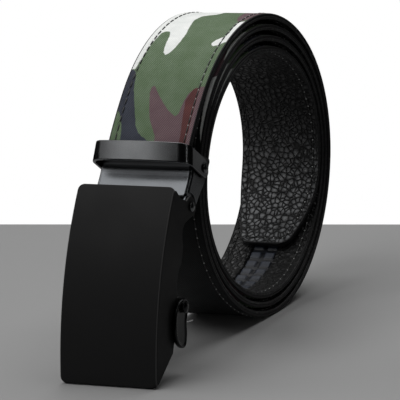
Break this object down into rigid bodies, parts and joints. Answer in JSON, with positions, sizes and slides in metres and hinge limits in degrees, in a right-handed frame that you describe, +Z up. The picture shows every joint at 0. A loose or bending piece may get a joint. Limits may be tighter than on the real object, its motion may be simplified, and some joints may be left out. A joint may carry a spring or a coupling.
{
  "type": "ratchet belt",
  "caption": "Rolled waist belt: camouflage-faced leather strap with a pebbled lining and toothed track, and a curved matt black slide buckle with keeper loop and release lever.",
  "frame": {"origin": "middle of the belt's bounding box, on the surface that it stands on", "axes": "+X across the strap towards the release lever, -Y to the buckle's front, +Z up"},
  "size_m": [0.0458, 0.1794, 0.1216],
  "materials": {
    "face_leather": "matte",
    "lining_leather": "satin",
    "track": "satin",
    "clip_metal": "satin",
    "pawl_metal": "satin",
    "keeper_paint": "satin",
    "buckle_paint": "matte"
  },
  "bodies": {
    "belt": {"strap_face": "face_leather", "strap_lining": "lining_leather", "ratchet_track": "track", "tail_clip": "clip_metal", "clamp_jaw": "clip_metal", "keeper_rivet_left": "keeper_paint", "keeper_rivet_right": "keeper_paint"},
    "buckle": {"face_plate": "buckle_paint", "hinge_rivet_left": "buckle_paint", "hinge_rivet_right": "buckle_paint"},
    "keeper": {"keeper_loop": "keeper_paint"},
    "pawl_lever": {"pawl": "pawl_metal", "pawl_pin": "buckle_paint", "release_lever": "buckle_paint"}
  },
  "joints": [
    {"name": "face_hinge", "type": "hinge", "parent": "belt", "child": "buckle", "pos_m": [-0.0007, -0.05138, 0.06115], "axis": [-1, 0, 0], "range_deg": [-25, 25]},
    {"name": "keeper_hinge", "type": "hinge", "parent": "belt", "child": "keeper", "pos_m": [-0.0007, -0.03961, 0.07362], "axis": [-1, 0, 0], "range_deg": [-12, 40]},
    {"name": "pawl_release", "type": "hinge", "parent": "buckle", "child": "pawl_lever", "pos_m": [-0.0007, -0.06648, 0.02596], "axis": [-1, 0, 0], "range_deg": [0, 15], "stiffness_Nm_per_rad": 0.01, "springref_deg": -20.05}
  ]
}
